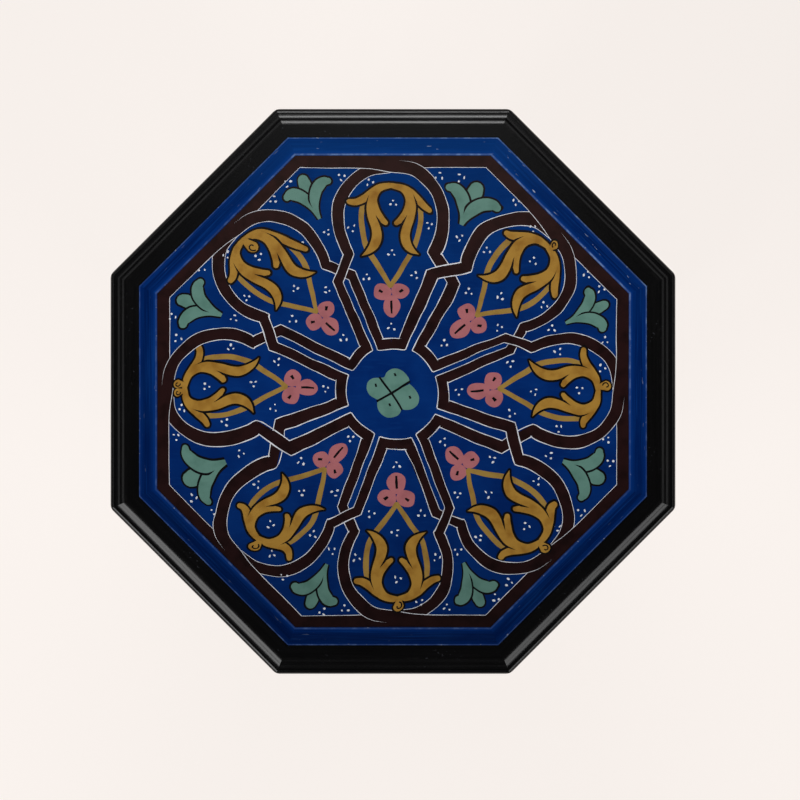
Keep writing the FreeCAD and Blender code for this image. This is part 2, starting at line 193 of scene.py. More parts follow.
class Finish:
    """A material with the coordinates that the paints on this table need."""

    def __init__(self, name):
        self.material = bpy.data.materials.new(name)
        self.material.use_nodes = True
        self.shader = self.material.node_tree.nodes["Principled BSDF"]
        self.wire = Wire(self.material.node_tree)
        self.place = self.wire.node("ShaderNodeTexCoord", out="Object")
        x = self.wire.node("ShaderNodeSeparateXYZ", {0: self.place})
        self.across = x.other(1)
        self.height = x.other(2)
        self.outward = x.octagon(self.across)
        angle = x.maths("ARCTAN2", self.across, x)
        turned = x.maths("FLOORED_MODULO", angle + SIDE_ANGLE / 2, SIDE_ANGLE) - SIDE_ANGLE / 2
        self.along = self.outward * x.maths("TANGENT", turned)
        side = angle - turned
        self.side = x.maths("COSINE", side) * 3 + x.maths("SINE", side) * 5

    def noise(self, size, detail=2.0, vector=None):
        sockets = {"Vector": vector or self.place, "Scale": 1 / (size * MM), "Detail": detail}
        return self.wire.node("ShaderNodeTexNoise", sockets)

    def strokes(self, *sizes):
        """Noise stretched along the sides, by the size of a mark outward, along and up, in mm."""
        marks = zip((self.outward, self.along, self.height), sizes)
        stretched = {axis: place / (size * MM) for axis, (place, size) in enumerate(marks)}
        point = self.wire.node("ShaderNodeCombineXYZ", stretched)
        sockets = {"Vector": point, "W": self.side, "Scale": 1.0, "Detail": 3.0}
        return self.wire.node("ShaderNodeTexNoise", sockets, noise_dimensions="4D")

    def coats(self, colour, *more):
        """A colour under more coats, each with its share. Three numbers are a screen colour."""
        for share, coat in more:
            first, second = [paint_colour(*c) if isinstance(c, tuple) else c for c in (colour, coat)]
            sockets = {0: share, 6: first, 7: second}
            colour = self.wire.node("ShaderNodeMix", sockets, 2, data_type="RGBA")
        return colour

    def near_side_shade(self, colour, amount):
        """The colour under a painted shade, darker by the amount on the near side."""
        near_shade = 1 - self.across.above(FULL_SHADE_AT, NO_SHADE_FROM)
        return self.coats(colour, (near_shade * amount, (0, 0, 0)))

    def grain(self, *sizes):
        """Bare softwood: its colour, its growth rings and its pores."""
        figure = self.strokes(*sizes)
        rings = figure.maths("SINE", figure * 60.0) * 0.5 + 0.5
        pores = self.strokes(*[size / 20 for size in sizes])
        bare = (rings.above(0.2, 1.0), (172, 130, 84)), (pores.above(0.52, 0.72) * 0.45, (128, 92, 58))
        return self.coats((204, 168, 120), *bare), rings, pores

    def done(self, colour, roughness, relief, depth, **constants):
        """The material with its colour, its roughness and a bump of so many millimetres."""
        bump = self.wire.node("ShaderNodeBump", {"Height": relief, "Distance": depth * MM})
        sockets = {"Base_Color": colour, "Roughness": roughness, "Normal": bump, **constants}
        for name, value in sockets.items():
            self.wire.fill(self.shader.inputs[name.replace("_", " ")], value)
        return self.material


def paint_colour(*screen):
    """A colour given as three screen values from 0 to 255."""
    shares = [value / 255 for value in screen]
    linear = [v / 12.92 if v <= 0.04045 else ((v + 0.055) / 1.055) ** 2.4 for v in shares]
    return (*linear, 1.0)


print("octagon coordinates ready")

# %% [markdown]
# The rim is satin black paint on hardwood. It isn't one flat black: the brush left
# fine lines along each rail, the sheen is cloudy, and the outer nose is rubbed
# until a little grey shows.

# %% Black rim
NOSE_OUT = 198.6 * MM
OGEE_OUT = 188.3 * MM


def coat(starts, material):
    """Gives the material to every solid whose name begins with one of the starts."""
    for name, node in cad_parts.items():
        if name.startswith(starts):
            node.data.materials.clear()
            node.data.materials.append(material)


finish = Finish("black_rim_paint")
brushed = finish.strokes(0.7, 60, 0.7)
cloud = finish.noise(35)
fleck = finish.noise(1.6, 1.0).above(0.70, 0.76)
rubbed = finish.noise(9, 3.0).above(0.52, 0.72)
arris = finish.outward.near(NOSE_OUT, 1.5 * MM) + finish.outward.near(OGEE_OUT, 0.7 * MM) * 0.6
colour = finish.coats(
    (1, 1, 1), (brushed, (7, 6, 7)), (arris * rubbed * 0.16, (62, 58, 54)),
    (fleck * cloud.above(0.5, 0.62) * 0.35, (70, 72, 78)),
)
roughness = 0.165 + brushed * 0.1 + cloud * 0.05
coat("rim_rail", finish.done(colour, roughness, brushed + cloud * 0.4, 0.05, Specular_IOR_Level=0.4))
print("rails painted")

# %% [markdown]
# The cove is blue paint, painted darker in the hollow as shade and lighter near its two
# edges as light, with lighter and darker streaks of the brush along it. Its far side is
# painted lighter and its near side darker, as light falls on it. A hand or a cloth rubs
# the edges first, so pale broken lines run along them, with chips and flecks. The lines
# and flecks are worn paint, made stronger as a painted highlight on the side that a
# direction in the mask points to.

# %% Blue cove
COVE_LIP = 167.6 * MM
COVE_BACK = 178.9 * MM
# Direction of the side where the pale worn edges are made stronger as a painted highlight.
WEAR_AND_HIGHLIGHT_SIDE = (0.5, 0.87, 0.0)
finish = Finish("blue_cove_paint")
brushed = finish.strokes(0.8, 45, 0.8)
cloud = finish.noise(30)
broken = finish.noise(6, 3.0).above(0.45, 0.68)
chips = finish.noise(2.4).above(0.69, 0.74)
flecks = finish.strokes(1.5, 9, 1.5).above(0.68, 0.72)
arris = finish.outward.near(COVE_LIP, 1.0 * MM) + finish.outward.near(COVE_BACK, 0.9 * MM)
# Painted shade: darker in the hollow. Painted light: lighter again towards the back edge.
hollow_shade = finish.outward.above(COVE_LIP, COVE_LIP + 4.5 * MM)
edge = finish.outward.above(COVE_BACK - 4 * MM, COVE_BACK - 0.5 * MM)
# Painted light: the far side of the cove is lighter.
far_side_light = finish.across.above(120 * MM, 180 * MM)
# Worn paint everywhere, plus a painted highlight on the pale edges and flecks on the side facing that
# direction.
facing = finish.wire.vectors("DOT_PRODUCT", finish.place, WEAR_AND_HIGHLIGHT_SIDE, "Value")
wear_and_highlight = 0.35 + (facing / finish.outward).above(0.2, 1.0) * 0.65
colour = finish.coats(
    (6, 50, 122), (hollow_shade, (1, 32, 90)), (edge, (6, 48, 120)),
    (brushed.above(0.5, 0.72) * 0.5, (14, 66, 142)),
    (0.5 - brushed.above(0.28, 0.48) * 0.5, (0, 20, 64)),
    (cloud.above(0.45, 0.7) * 0.25, (8, 50, 110)), (far_side_light * 0.5, (16, 66, 134)),
)
# Painted shade on the near side, then the pale worn edges and flecks.
colour = finish.coats(
    finish.near_side_shade(colour, 0.4), (arris * (0.3 + broken * 0.6) * wear_and_highlight, (118, 146, 194)),
    (chips * arris * 0.8, (170, 176, 184)), (flecks * wear_and_highlight * wear_and_highlight * 0.8, (176, 190, 214)),
)
matt = {"Specular_IOR_Level": 0.03, "Specular_Tint": (0.3, 0.55, 1.0, 1.0)}
coat("cove_moulding", finish.done(colour, 0.42 + brushed * 0.16, brushed + broken * 0.3, 0.06, **matt))
print("coves painted")

# %% [markdown]
# The field is one coat of ultramarine under the whole pattern. A flat brush laid it
# on in short overlapping strokes, so the blue drifts a little from place to place. It is
# painted lighter on the far side and darker on the near side, as light and shade.
# The underside of the same board stays bare, and a mask on the height parts the two.

# %% Blue field
finish = Finish("blue_field_paint")
drift = finish.noise(28, 3.0)
sockets = {"Vector": finish.place, "Rotation": (0, 0, 0.6), "Scale": (1.0, 7.0, 1.0)}
hairs = finish.noise(14, 4.0, finish.wire.node("ShaderNodeMapping", sockets))
grain = finish.noise(1.2)
# Painted light: the far side of the field is lighter.
far_side_light = finish.across.above(0.0, 170 * MM)
under = 1 - finish.height.above(FIELD_HEIGHT - 6 * MM, FIELD_HEIGHT - 5 * MM)
colour = finish.coats(
    (0, 37, 101), (drift.above(0.3, 0.7), (3, 48, 116)),
    (hairs.above(0.52, 0.75) * 0.3, (8, 57, 125)), (far_side_light * 0.2, (8, 62, 108)),
)
# Painted shade on the near side. Below the top, bare wood.
colour = finish.coats(finish.near_side_shade(colour, 0.42), (under, finish.grain(22, 300, 22)[0]))
roughness = 0.36 + hairs * 0.16
coat("top_panel", finish.done(colour, roughness, hairs + grain * 0.25, 0.06, Specular_IOR_Level=0.04))
print("field painted")

# %% [markdown]
# Cleats, glue blocks, mitre keys and the inner faces of the boards are bare softwood. Its
# growth rings are the contour lines of one noise, drawn out along the piece: upright in
# boards and blocks, lengthwise in the cleats. The screws are plain bright steel. The
# boards are black outside, rubbed at the foot and along the corners of the base.

# %% Bare wood, screws and base boards
BOARD_OUT, BOARD_IN = [-corner[1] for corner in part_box("side_panel_s")]


def bare_wood(name, *sizes):
    finish = Finish(name)
    colour, rings, pores = finish.grain(*sizes)
    return finish.done(colour, 0.62 + pores * 0.2, rings * 0.5 + pores, 0.08)


coat(("top_cleat", "mitre_keys"), bare_wood("cleat_softwood", 18, 240, 18))
finish = Finish("bright_screw_steel")
scuffs = finish.noise(0.5, 3.0)
colour = finish.coats((176, 172, 160), (scuffs, (212, 206, 190)))
steel = finish.done(colour, 0.26 + scuffs * 0.25, scuffs, 0.02, Metallic=1.0)
coat(("cleat_screws", "rim_screws", "top_screws"), steel)
finish = Finish("black_board_paint")
brushed = finish.strokes(0.7, 0.9, 70)
cloud = finish.noise(40)
rubbed = finish.noise(8, 3.0).above(0.5, 0.7)
foot = 1 - finish.height.above(2 * MM, 14 * MM)
corner = (abs(finish.along) - finish.outward * HALF_SIDE).near(0.0, 1.6 * MM)
inside = 1 - finish.outward.above(BOARD_IN + 0.3 * MM, BOARD_IN + 0.9 * MM)
colour = finish.coats(
    (6, 6, 7), (brushed, (17, 16, 17)), (foot * rubbed * 0.7, (88, 70, 52)),
    (corner * rubbed * 0.5, (80, 66, 52)), (inside, finish.grain(22, 22, 320)[0]),
)
roughness = 0.3 + brushed * 0.14 + cloud * 0.12 + inside * 0.3
coat("side_panel", finish.done(colour, roughness, brushed + cloud * 0.4, 0.06, Specular_IOR_Level=0.25))
coat("corner_block", bare_wood("block_softwood", 18, 18, 240))
print("base and screws finished")

# %% [markdown]
# The painter's colours are thick, slightly chalky paints. They share one recipe:
# two shades that drift into each other, fine hairs of the brush, and a low relief, with
# a painted grey sheen on the far side and a painted shade on the near side. The shades,
# the sheen and the depth of the near-side shade change from pot to pot.

# %% Paint pots
# A warm grey, laid thinly over the far side as a painted sheen.
FAR_SHEEN_GREY = (132, 108, 96)


def pot(name, dark, light, sheen, shade_amount=0.2):
    finish = Finish(name)
    drift = finish.noise(11, 3.0)
    hairs = finish.noise(0.9, 3.0)
    thin = finish.noise(2.2).above(0.55, 0.8)
    # Painted sheen on the far side, and painted shade on the near side below.
    far_sheen = finish.across.above(30 * MM, 170 * MM) * 0.045
    colour = finish.coats(dark, (drift.above(0.25, 0.6), light), (thin * 0.2, dark))
    colour = finish.coats(finish.near_side_shade(colour, shade_amount), (far_sheen, FAR_SHEEN_GREY))
    return finish.done(colour, sheen + hairs * 0.18, hairs + drift, 0.05, Specular_IOR_Level=0.08)


POTS = {
    "maroon": pot("maroon_strap_paint", (25, 9, 9), (38, 17, 17), 0.34, 0.46),
    "white": pot("white_line_paint", (206, 208, 216), (238, 239, 244), 0.42),
    "ochre": pot("ochre_leaf_paint", (147, 103, 37), (174, 131, 55), 0.40),
    "dull_ochre": pot("ochre_stem_paint", (142, 108, 51), (162, 129, 64), 0.40),
    "black": pot("black_outline_paint", (4, 5, 7), (12, 12, 14), 0.36),
    "pink": pot("pink_trefoil_paint", (164, 98, 102), (180, 109, 113), 0.42),
    "green": pot("green_palmette_paint", (88, 128, 116), (101, 142, 130), 0.42, 0.32),
}
print("paint pots:", ", ".join(POTS))

# %% [markdown]
# A geometry tree is wired like a material: inputs with names, formulas, one output.
# All trees here start empty, turn things about an axis and copy them to points, so three
# helpers do that.

# %% Helpers for geometry trees
def new_tree(name, inputs):
    """An empty geometry tree as a wire, the wires of its inputs, and its output node."""
    tree = bpy.data.node_groups.new(name, "GeometryNodeTree")
    for label, kind in [("Geometry", "Geometry")] + inputs:
        tree.interface.new_socket(label, in_out="INPUT", socket_type="NodeSocket" + kind)
    tree.interface.new_socket("Geometry", in_out="OUTPUT", socket_type="NodeSocketGeometry")
    entry = tree.nodes.new("NodeGroupInput")
    given = {socket.name: Wire(tree, socket) for socket in entry.outputs if socket.name}
    return Wire(tree), given, tree.nodes.new("NodeGroupOutput")


def about(wire, axis, angle):
    return wire.node("FunctionNodeAxisAngleToRotation", {"Axis": axis, "Angle": angle})


def copies(wire, points, mark, turn):
    sockets = {"Points": points, "Instance": mark, "Rotation": turn}
    instances = wire.node("GeometryNodeInstanceOnPoints", sockets)
    return wire.node("GeometryNodeRealizeInstances", {0: instances})


print("tree helpers ready")

# %% [markdown]
# The pattern repeats eight times round the middle. One node group stands eight copies
# in a ring and pushes them about as an unsteady hand does. Float Curves hold how far each
# petal drifted along the ring, and how far out its parts and the corner after it moved.
# They are level within a petal, so that nothing in it is stretched, and each push has its
# zone, in millimetres from the middle. Smooth noise adds sway and tremor. All layers use
# the same push, so a line stays on its strap while no two petals are alike.

# %% Ring of eight, with the unsteadiness of a hand
PETAL_DRIFT = (-1.9, 4.5, -2.0, 2.2, -3.2, -6.0, 4.0, 1.4)
PETAL_RISE = (0.6, 5.4, -0.8, 3.0, 2.2, -4.5, 1.2, 4.8)
CORNER_RISE = (-4.0, 2.0, -1.0, 1.0, 1.0, -2.0, 3.0, 2.0)
FOOT_RISE = (0.0, 4.0, 0.0, 1.0, 4.5, -2.0, 0.0, 4.0)
INNER_RISE = (-2.5, 0.0, 1.0, 1.0, 2.5, 1.5, 1.5, -1.0)
NECK_RISE = (0.0, 0.0, -1.5, 3.0, 2.0, -5.0, 4.0, 0.0)
WIDEST_PUSH = 7.0
PETAL_LEVEL = 0.27
CORNER_LEVEL = 0.15
ZONES = {
    "border": (146, 165), "drift": (10, 105), "top": (95, 145), "foot": (75, 140),
    "inner_from": (20, 30), "inner_to": (38, 58), "neck_from": (60, 88), "neck_to": (108, 138),
}
SWAY_SIZE = 80 * MM
TREMOR_SIZE = 14 * MM
RING_SETTINGS = {
    "Copies": SIDES, "Turn": 0.0, "Lift": FIELD_HEIGHT, "Stand": 0.0, "Out": 0.0,
    "Drift": 1.0, "Rise": 0.0, "Sway": 7.0 * MM, "Tremor": 1.5 * MM,
}
RING_INPUTS = [(label, "Int" if label == "Copies" else "Float") for label in RING_SETTINGS]


def zone(reach, name):
    """Nought nearer the middle than the named zone, and one beyond it."""
    return reach.above(*[distance * MM for distance in ZONES[name]])


def stored(amount):
    """A Float Curve holds values from 0 to 1, so an amount of nought is kept as a half."""
    return 0.5 + amount / (2 * WIDEST_PUSH)


def petal_push(wire, share, petals, corners=()):
    """The amounts of the petals, and of the corners after them, clockwise from the far side."""
    curve = wire.node("ShaderNodeFloatCurve", {"Value": share})
    mapping = curve.socket.node.mapping
    points = mapping.curves[0].points
    for end in (0, 1):
        points[end].location = (end, stored(petals[0]))
    steps = [(petal, PETAL_LEVEL, petals[petal % SIDES]) for petal in range(SIDES + 1)]
    steps += [(petal + 0.5, CORNER_LEVEL, amount) for petal, amount in enumerate(corners)]
    for place, reach, amount in steps:
        for edge in (place - reach, place + reach):
            if 0 < edge < SIDES:
                points.new(edge / SIDES, stored(amount))
    mapping.update()
    return (curve - 0.5) * (2 * WIDEST_PUSH * MM)


def hand_ring():
    wire, given, end = new_tree("hand_painted_ring", RING_INPUTS)
    stand = about(wire, (1, 0, 0), given["Stand"])
    out = wire.node("ShaderNodeCombineXYZ", {1: given["Out"] * -1})
    sockets = {"Geometry": given["Geometry"], "Rotation": stand, "Translation": out}
    mark = wire.node("GeometryNodeTransform", sockets)
    points = wire.node("GeometryNodePoints", {"Count": given["Copies"]})
    turn = about(wire, (0, 0, 1), given["Turn"] - wire.node("GeometryNodeInputIndex") * SIDE_ANGLE)
    ring = copies(wire, points, mark, turn)
    place = wire.node("GeometryNodeInputPosition")
    x = wire.node("ShaderNodeSeparateXYZ", {0: place})
    y = x.other(1)
    free = 1 - zone(x.octagon(y), "border")
    share = x.maths("FLOORED_MODULO", x.maths("ARCTAN2", x, y) / (2 * math.pi), 1.0)
    reach = wire.vectors("LENGTH", place, (0, 0, 0), "Value")
    drift = petal_push(wire, share, PETAL_DRIFT) * given["Drift"] * zone(reach, "drift") * free / reach
    top = petal_push(wire, share, PETAL_RISE, CORNER_RISE) * zone(reach, "top")
    foot = petal_push(wire, share, FOOT_RISE) * (1 - zone(reach, "foot"))
    inner = petal_push(wire, share, INNER_RISE) * zone(reach, "inner_from")
    neck = petal_push(wire, share, [0.0] * SIDES, NECK_RISE) * zone(reach, "neck_from")
    straps = inner * (1 - zone(reach, "inner_to")) + neck * (1 - zone(reach, "neck_to"))
    rise = ((top + foot) * given["Rise"] + straps * given["Drift"]) / reach
    push = wire.node("ShaderNodeCombineXYZ", {0: y * drift + x * rise, 1: y * rise - x * drift})
    for size, amount in ((SWAY_SIZE, given["Sway"]), (TREMOR_SIZE, given["Tremor"])):
        sockets = {"Vector": place, "Scale": 1 / size, "Detail": 0.0}
        noise = wire.node("ShaderNodeTexNoise", sockets, "Color")
        centred = wire.vectors("SUBTRACT", noise, (0.5, 0.5, 0.5))
        push = wire.vectors("ADD", push, wire.vectors("SCALE", centred, amount * free))
    flat = wire.vectors("MULTIPLY", push, (1, 1, 0))
    lift = wire.node("ShaderNodeCombineXYZ", {2: given["Lift"]})
    sockets = {"Geometry": ring, "Offset": wire.vectors("ADD", flat, lift)}
    wire.fill(end.inputs[0], wire.node("GeometryNodeSetPosition", sockets))
    return wire.tree


RING = hand_ring()


def ring_of(wire, given, geometry):
    sockets = {label: given[label] for label in RING_SETTINGS}
    return wire.node("GeometryNodeGroup", {**sockets, "Geometry": geometry}, node_tree=RING)


def finished(wire, end, geometry, given, smooth):
    """The last nodes of every paint tree: shading and paint on real geometry."""
    real = wire.node("GeometryNodeRealizeInstances", {0: geometry})
    shaded = wire.node("GeometryNodeSetShadeSmooth", {"Geometry": real, "Shade Smooth": smooth})
    coloured = {"Geometry": shaded, "Material": given["Paint"]}
    wire.fill(end.inputs[0], wire.node("GeometryNodeSetMaterial", coloured))
    return wire.tree


print("ring group with", len(RING.nodes), "nodes")

# %% [markdown]
# Two kinds of paint mark are enough for all but the dots. A filled shape is a closed
# outline that is filled and raised into a film, each next shape a little higher than
# the one it overlaps. A line is a path swept with a round section and then pressed
# flat, and its width swells and thins as a loaded brush does.

# %% Film tree and line tree
LOAD_SIZE = 7 * MM
WELD = 0.001 * MM


def own_inputs(*labels):
    return RING_INPUTS + [(label, "Float") for label in labels] + [("Paint", "Material")]


def film_tree():
    wire, given, end = new_tree("paint_film", own_inputs("Thickness", "Step"))
    sockets = {"Curve": given["Geometry"], "Group ID": wire.node("GeometryNodeInputIndex")}
    sheet = wire.node("GeometryNodeFillCurve", sockets, mode="TRIANGLES")
    rise = given["Thickness"] + wire.node("GeometryNodeInputMeshIsland") * given["Step"]
    sockets = {"Mesh": sheet, "Offset Scale": rise, "Individual": False}
    top = wire.node("GeometryNodeExtrudeMesh", sockets, mode="FACES")
    under = wire.node("GeometryNodeFlipFaces", {"Mesh": sheet})
    film = wire.node("GeometryNodeJoinGeometry", {0: [top, under]})
    film = wire.node("GeometryNodeMergeByDistance", {"Geometry": film, "Distance": WELD})
    return finished(wire, end, ring_of(wire, given, film), given, False)


def line_tree():
    wire, given, end = new_tree("brushed_line", own_inputs("Stride", "Rest", "Flatness", "Swell"))
    sockets = {"Curve": given["Geometry"], "Length": given["Stride"]}
    path = wire.node("GeometryNodeResampleCurve", sockets, mode="LENGTH")
    place = wire.node("GeometryNodeInputPosition")
    load = wire.node("ShaderNodeTexNoise", {"Vector": place, "Scale": 1 / LOAD_SIZE, "Detail": 2.0})
    width = wire.node("GeometryNodeInputRadius") * (1 + (load - 0.5) * given["Swell"])
    sockets = {"Resolution": 8, "Radius": 1.0}
    section = wire.node("GeometryNodeCurvePrimitiveCircle", sockets, mode="RADIUS")
    sockets = {"Curve": path, "Profile Curve": section, "Scale": width, "Fill Caps": True}
    bead = wire.node("GeometryNodeCurveToMesh", sockets)
    x = wire.node("ShaderNodeSeparateXYZ", {0: place})
    height = given["Rest"] + x.other(2) * given["Flatness"]
    pressed = wire.node("ShaderNodeCombineXYZ", {0: x, 1: x.other(1), 2: height})
    bead = wire.node("GeometryNodeSetPosition", {"Geometry": bead, "Position": pressed})
    return finished(wire, end, ring_of(wire, given, bead), given, True)


FILM = film_tree()
LINE = line_tree()
print("film tree", len(FILM.nodes), "nodes, line tree", len(LINE.nodes), "nodes")

# %% [markdown]
# A path becomes a curve object, the tree runs on it as a modifier, and the result
# is kept as a plain mesh, because later steps want meshes that need no modifier.
# Places on the pattern, heights and widths are given in millimetres.

# %% From path to painted piece
STRIDE = 1.1


def draw(lines, closed):
    """A curve object with one poly spline per line. A third number is a half width."""
    curve = bpy.data.curves.new("drawing", "CURVE")
    curve.dimensions = "3D"
    for line in lines:
        spline = curve.splines.new("POLY")
        spline.points.add(len(line) - 1)
        for point, place in zip(spline.points, line):
            point.co = (place[0] * MM, place[1] * MM, 0, 1)
            if len(place) > 2:
                point.radius = place[2] * MM
        spline.use_cyclic_u = closed
    return link("drawing", curve)


def paint(name, source, tree, colour, settings):
    """Runs the tree on the source and keeps the result as a piece on the table."""
    settings = {**RING_SETTINGS, "Paint": POTS[colour], **settings}
    modifier = source.modifiers.new("paint", "NODES")
    modifier.node_group = tree
    for item in tree.interface.items_tree:
        if item.in_out == "INPUT" and item.name in settings:
            modifier[item.identifier] = settings[item.name]
    depsgraph = bpy.context.evaluated_depsgraph_get()
    mesh = bpy.data.meshes.new_from_object(source.evaluated_get(depsgraph), depsgraph=depsgraph)
    bpy.data.objects.remove(source)
    piece = link(name, mesh)
    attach(piece, "root")
    print(name, len(mesh.polygons), "faces")


def lay_film(name, shapes, colour, thickness, step, slot="field_paint", **more):
    settings = {"Thickness": thickness * MM, "Step": step * MM, **more}
    paint(name, draw(shapes, True), FILM, colour, settings)


def lay_lines(name, lines, colour, rest, flatness, swell, slot="field_paint", stride=STRIDE, **more):
    settings = {"Rest": rest * MM, "Flatness": flatness, "Swell": swell, "Stride": stride * MM, **more}
    paint(name, draw(lines, False), LINE, colour, settings)


print("painting tools ready")

# %% [markdown]
# Two tools draw paths: one lays a smooth line through a few points, as a brush would go,
# and one finds the line that runs beside another, for the edges of straps and strokes.

# %% Smooth lines and lines beside them
def flow(points, steps=8):
    """A smooth line through the points, by cubics that share their slopes."""
    knots = [Vector(point) for point in points]
    last = len(knots) - 1
    line = []
    for i in range(last):
        before, a, b, after = knots[max(i - 1, 0)], knots[i], knots[i + 1], knots[min(i + 2, last)]
        for k in range(steps):
            t = k / steps
            line.append(
                0.5 * (2 * a + (b - before) * t + (2 * before - 5 * a + 4 * b - after) * t ** 2
                       + (3 * a - before - 3 * b + after) * t ** 3)
            )
    return line + [knots[-1]]


def beside(line, widths):
    """The line moved to its left by the width at each point, with mitred corners."""
    moved = []
    for i, point in enumerate(line):
        here = Vector(point[:2])
        sides = []
        for a, b in ((i - 1, i), (i, i + 1)):
            if a >= 0 and b < len(line):
                step = (Vector(line[b][:2]) - Vector(line[a][:2])).normalized()
                sides.append(Vector((-step.y, step.x)))
        mitre = (sides[0] + sides[-1]) / (1 + sides[0].dot(sides[-1]))
        moved.append(here + mitre * widths[i])
    return moved


print("drawing tools ready")

# %% [markdown]
# The strapwork is the skeleton of the pattern. Each strap runs along the border,
# swings round an onion-shaped bulb, bends at the neck, crosses its neighbour and
# folds round the inner end of the next petal. Left-hand straps are mirror images. A
# right-hand strap is on top where the bulb closes and underneath at the neck, so each
# strap is painted in two parts at two levels.

# %% Strap paths
BORDER_LINE = 162.6
BORDER_IN = 158.5
BULB_MIDDLE = 123.6
BULB_RADIUS = 37.0
NECK = Vector((29.5, 98.0))
ELBOW = Vector((-27.3, 83.2))
INNER_CORNER = Vector((-8.1, 34.6))
BULB_HALF = 4.25
SPOKE_HALF = 3.75


def on_bulb(degrees):
    angle = math.radians(degrees)
    return Vector((BULB_RADIUS * math.sin(angle), BULB_MIDDLE + BULB_RADIUS * math.cos(angle)))


def on_petal(petal, line):
    turn = Matrix.Rotation(-SIDE_ANGLE * petal, 2)
    return [turn @ point for point in line]


border_start = Vector((-BORDER_LINE * HALF_SIDE, BORDER_LINE))
round_bulb = [on_bulb(degrees) for degrees in range(24, 105, 20)]
swing = flow([(-26, BORDER_LINE), (-13, 161.9), (0.5, 159.8)] + round_bulb + [(32.9, 104.6), NECK])
bulb_path = [border_start, Vector((-46, BORDER_LINE))] + swing
corner_turn = math.atan2(-INNER_CORNER.x, INNER_CORNER.y)
inner_end = [Matrix.Rotation(-corner_turn * k / 4, 2) @ INNER_CORNER for k in range(5)]
spoke = [ELBOW, ELBOW.lerp(INNER_CORNER, 0.2), ELBOW.lerp(INNER_CORNER, 0.85)] + inner_end
strap = bulb_path + on_petal(1, spoke)
bend = len(bulb_path) - 1
halves = [BULB_HALF if i < bend else SPOKE_HALF for i in range(len(strap))]
outer_edge = beside(strap, halves)
inner_edge = beside(strap, [-half for half in halves])
for edge in (outer_edge, inner_edge):
    edge[0].x = -edge[0].y * HALF_SIDE
leaves_border = next(i for i, point in enumerate(strap) if point.x > 4.0)


def mirrored(line):
    return [Vector((-point[0], *point[1:])) for point in line]


bulb_strap = outer_edge[:bend + 1] + inner_edge[bend::-1]
spoke_strap = outer_edge[bend:] + inner_edge[:bend - 1:-1]
print("strap path with", len(strap), "points, neck at point", bend)

# %% [markdown]
# The border part of a strap has no line along the cove, so its outer line starts
# where the strap leaves the border. The lines lie just above their own strap, and the
# upper strap covers the lines of the one below. The brush was heavier at the inner
# ends and the necks: PRESSURE lists distances from the middle, and how wide a line is.

# %% Straps and their white lines
BORDER_OUT = 166.6
UNDER = 0.06
OVER = 0.18
STEP = 0.01
LINE_HALF = 0.285
LINE_LIFT = 0.02
LINE_FLATNESS = 0.12
LINE_SWELL = 1.7
TAPER_POINTS = 7
TAPER_START = 0.15
PRESSURE = [
    (36, 1.17), (44, 0.84), (78, 0.83), (90, 1.13), (104, 1.15), (116, 0.82), (145, 0.78), (157, 0.62),
]


def line_half(point):
    """Half the width of a white line, by the distance from the middle."""
    reach = min(max(point.length, PRESSURE[0][0]), PRESSURE[-1][0])
    for (near, start), (far, stop) in zip(PRESSURE, PRESSURE[1:]):
        if reach <= far:
            return LINE_HALF * (start + (stop - start) * (reach - near) / (far - near))


border_corners = ((BORDER_OUT, -1), (BORDER_OUT, 1), (BORDER_IN, 1), (BORDER_IN, -1))
border = [(side * reach * HALF_SIDE, reach) for reach, side in border_corners]
lay_film("maroon_straps_under", [border, mirrored(bulb_strap), spoke_strap], "maroon", UNDER, STEP)
lay_film("maroon_straps_over", [bulb_strap, mirrored(spoke_strap)], "maroon", OVER, STEP)
inner_line = [(*point, line_half(point)) for point in inner_edge]
taper = [min(max((i - leaves_border) / TAPER_POINTS, TAPER_START), 1.0) for i in range(len(outer_edge))]
outer_line = [(*point, line_half(point) * share) for point, share in zip(outer_edge, taper)]
bulb_lines = [inner_line[:bend + 1], outer_line[leaves_border:bend + 1]]
spoke_lines = [inner_line[bend:], outer_line[bend:]]
for level, height, lines in (
    ("under", UNDER, [mirrored(line) for line in bulb_lines] + spoke_lines),
    ("over", OVER, bulb_lines + [mirrored(line) for line in spoke_lines]),
):
    lay_lines(f"white_lines_{level}", lines, "white", height + LINE_LIFT, LINE_FLATNESS, LINE_SWELL)

# %% [markdown]
# The arabesque in each bulb is painted in ochre with a full brush: two stems, two
# arms, two long leaves and two short ones. Each is one stroke, described by where
# the brush went and how hard it was pressed. A wider black stroke below shows as an
# outline, and it starts later where one stroke grows out of another. The arms came out
# differently in every petal, so each is the same stroke with its tip moved to a place of
# its own. Arms that overlap differ by a hair in height, because two faces at one height
# would show through each other.

# %% Ochre arabesques
FROM_ROOT = -0.2
FADE = 0.1
LEAST_HALF = 0.05
ROUND_FROM = 0.5
TIP_PARTS = 7


def pressed_stroke(points, extra=0.0, starts=(FROM_ROOT, FROM_ROOT)):
    """The outline of a stroke through points of place and half width.

    Extra width starts at a share of the length, one for the left side and one for the right."""
    line = flow(points)
    count = len(line) - 1
    edges = []
    for way, start in zip((1, -1), starts):
        shares = [min(max((i / count - start) / FADE, 0.0), 1.0) for i in range(count + 1)]
        widths = [max(point[2] + extra * share, LEAST_HALF) for point, share in zip(line, shares)]
        edges.append(beside(line, [way * width for width in widths]))
    left, right = edges
    tip = []
    if widths[-1] > ROUND_FROM:
        end = Vector(line[-1][:2])
        arm = left[-1] - end
        turns = [Matrix.Rotation(-math.pi * k / TIP_PARTS, 2) for k in range(1, TIP_PARTS)]
        tip = [end + turn @ arm for turn in turns]
    return left + tip + right[::-1]


